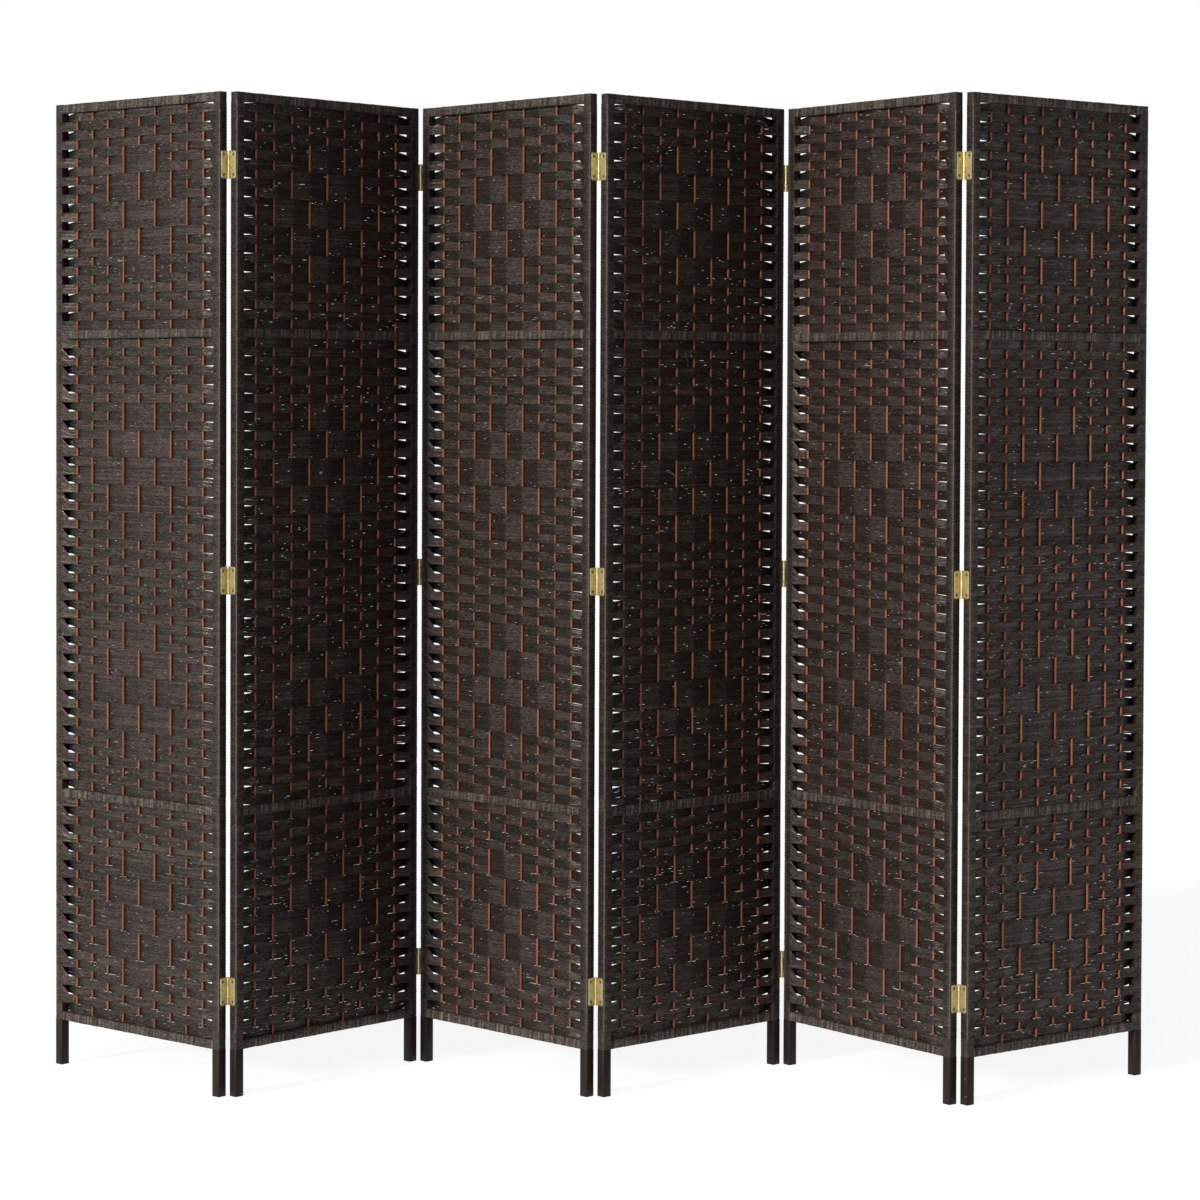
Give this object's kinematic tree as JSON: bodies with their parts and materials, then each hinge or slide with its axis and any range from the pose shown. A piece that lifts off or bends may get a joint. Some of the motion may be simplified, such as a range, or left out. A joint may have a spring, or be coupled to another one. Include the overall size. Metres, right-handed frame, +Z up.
{
  "type": "folding screen",
  "caption": "Free-standing folding room divider: tall framed panels of dark woven strip on round stakes, hinged edge to edge and set up in a zigzag.",
  "frame": {"origin": "on the floor, at the middle of the footprint of the set-up screen", "axes": "+Z up; +X along the screen, from panel_1 to panel_6; -Y is the viewer's side, where the folds between panels 1-2, 3-4 and 5-6 stand out"},
  "size_m": [2.034, 0.3632, 1.8],
  "materials": {
    "frame_wrap": "satin",
    "stake_wood": "satin",
    "woven_strip": "matte",
    "dowel_wood": "matte",
    "brass": "satin"
  },
  "bodies": {
    "panel_1": {"panel_1_left_stile": "frame_wrap", "panel_1_right_stile": "frame_wrap", "panel_1_rails": "frame_wrap", "panel_1_stakes": "stake_wood", "panel_1_weave": "woven_strip", "panel_1_dowels": "dowel_wood", "panel_1_hinge_screws": "brass", "hinge_1_2_left_leaves": "brass", "hinge_1_2_pins": "brass"},
    "panel_2": {"panel_2_left_stile": "frame_wrap", "panel_2_right_stile": "frame_wrap", "panel_2_rails": "frame_wrap", "panel_2_stakes": "stake_wood", "panel_2_weave": "woven_strip", "panel_2_dowels": "dowel_wood", "panel_2_hinge_screws": "brass", "hinge_1_2_right_leaves": "brass", "hinge_2_3_left_leaves": "brass", "hinge_2_3_pins": "brass"},
    "panel_3": {"panel_3_left_stile": "frame_wrap", "panel_3_right_stile": "frame_wrap", "panel_3_rails": "frame_wrap", "panel_3_stakes": "stake_wood", "panel_3_weave": "woven_strip", "panel_3_dowels": "dowel_wood", "panel_3_hinge_screws": "brass", "hinge_2_3_right_leaves": "brass", "hinge_3_4_left_leaves": "brass", "hinge_3_4_pins": "brass"},
    "panel_4": {"panel_4_left_stile": "frame_wrap", "panel_4_right_stile": "frame_wrap", "panel_4_rails": "frame_wrap", "panel_4_stakes": "stake_wood", "panel_4_weave": "woven_strip", "panel_4_dowels": "dowel_wood", "panel_4_hinge_screws": "brass", "hinge_3_4_right_leaves": "brass", "hinge_4_5_left_leaves": "brass", "hinge_4_5_pins": "brass"},
    "panel_5": {"panel_5_left_stile": "frame_wrap", "panel_5_right_stile": "frame_wrap", "panel_5_rails": "frame_wrap", "panel_5_stakes": "stake_wood", "panel_5_weave": "woven_strip", "panel_5_dowels": "dowel_wood", "panel_5_hinge_screws": "brass", "hinge_4_5_right_leaves": "brass", "hinge_5_6_left_leaves": "brass", "hinge_5_6_pins": "brass"},
    "panel_6": {"panel_6_left_stile": "frame_wrap", "panel_6_right_stile": "frame_wrap", "panel_6_rails": "frame_wrap", "panel_6_stakes": "stake_wood", "panel_6_weave": "woven_strip", "panel_6_dowels": "dowel_wood", "panel_6_hinge_screws": "brass", "hinge_5_6_right_leaves": "brass"}
  },
  "joints": [
    {"name": "fold_1_2", "type": "hinge", "parent": "panel_1", "child": "panel_2", "pos_m": [-0.65311, -0.16222, 0], "axis": [0, 0, 1], "range_deg": [-88, 92]},
    {"name": "fold_2_3", "type": "hinge", "parent": "panel_2", "child": "panel_3", "pos_m": [-0.33812, 0.16552, 0], "axis": [0, 0, -1], "range_deg": [-92.5, 87.5]},
    {"name": "fold_3_4", "type": "hinge", "parent": "panel_3", "child": "panel_4", "pos_m": [0.00682, -0.13052, 0], "axis": [0, 0, 1], "range_deg": [-87.5, 92.5]},
    {"name": "fold_4_5", "type": "hinge", "parent": "panel_4", "child": "panel_5", "pos_m": [0.34917, 0.16852, 0], "axis": [0, 0, -1], "range_deg": [-94.5, 85.5]},
    {"name": "fold_5_6", "type": "hinge", "parent": "panel_5", "child": "panel_6", "pos_m": [0.65547, -0.16736, 0], "axis": [0, 0, 1], "range_deg": [-90, 90]}
  ]
}
